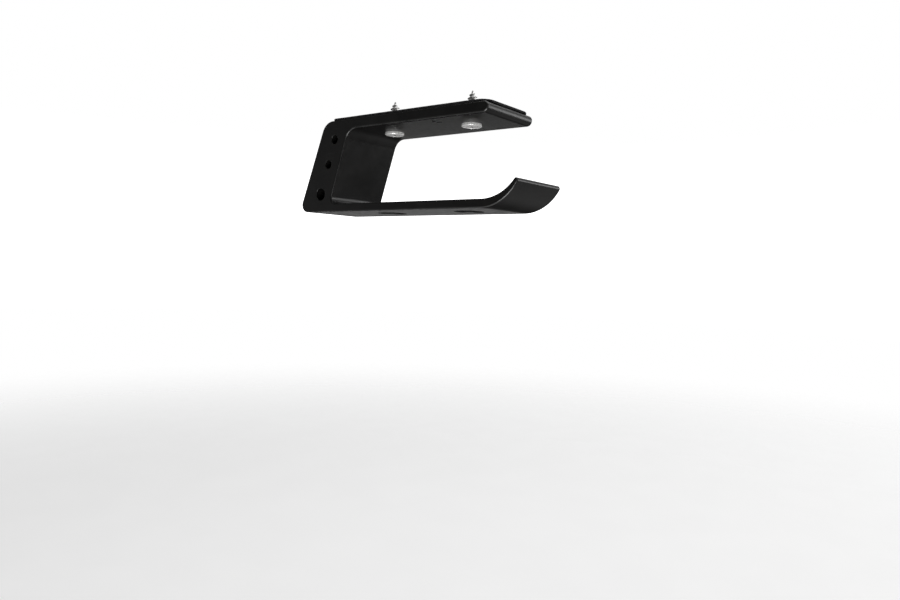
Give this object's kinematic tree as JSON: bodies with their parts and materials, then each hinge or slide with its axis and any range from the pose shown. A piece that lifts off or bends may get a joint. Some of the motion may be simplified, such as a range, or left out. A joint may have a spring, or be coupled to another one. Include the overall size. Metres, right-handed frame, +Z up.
{
  "type": "headphone hook",
  "caption": "Under-desk headphone hook: a rigid C-shaped hanger on a thin foam pad, held to the desk's underside by pan-head wood screws.",
  "frame": {"origin": "on the foam pad's top face, where it meets the desk, midway between the two screws", "axes": "+Z up into the desk, +X from the web towards the open tip, +Y across the hook's width"},
  "size_m": [0.139, 0.0396, 0.0586],
  "materials": {
    "hook_plastic": "fine satin moulded black",
    "pad_foam": "matt closed-cell foam",
    "screw_zinc": "bright zinc plate"
  },
  "bodies": {
    "root": {"hook_body": "hook_plastic", "foam_pad": "pad_foam", "web_side_screw": "screw_zinc", "tip_side_screw": "screw_zinc"}
  },
  "joints": []
}
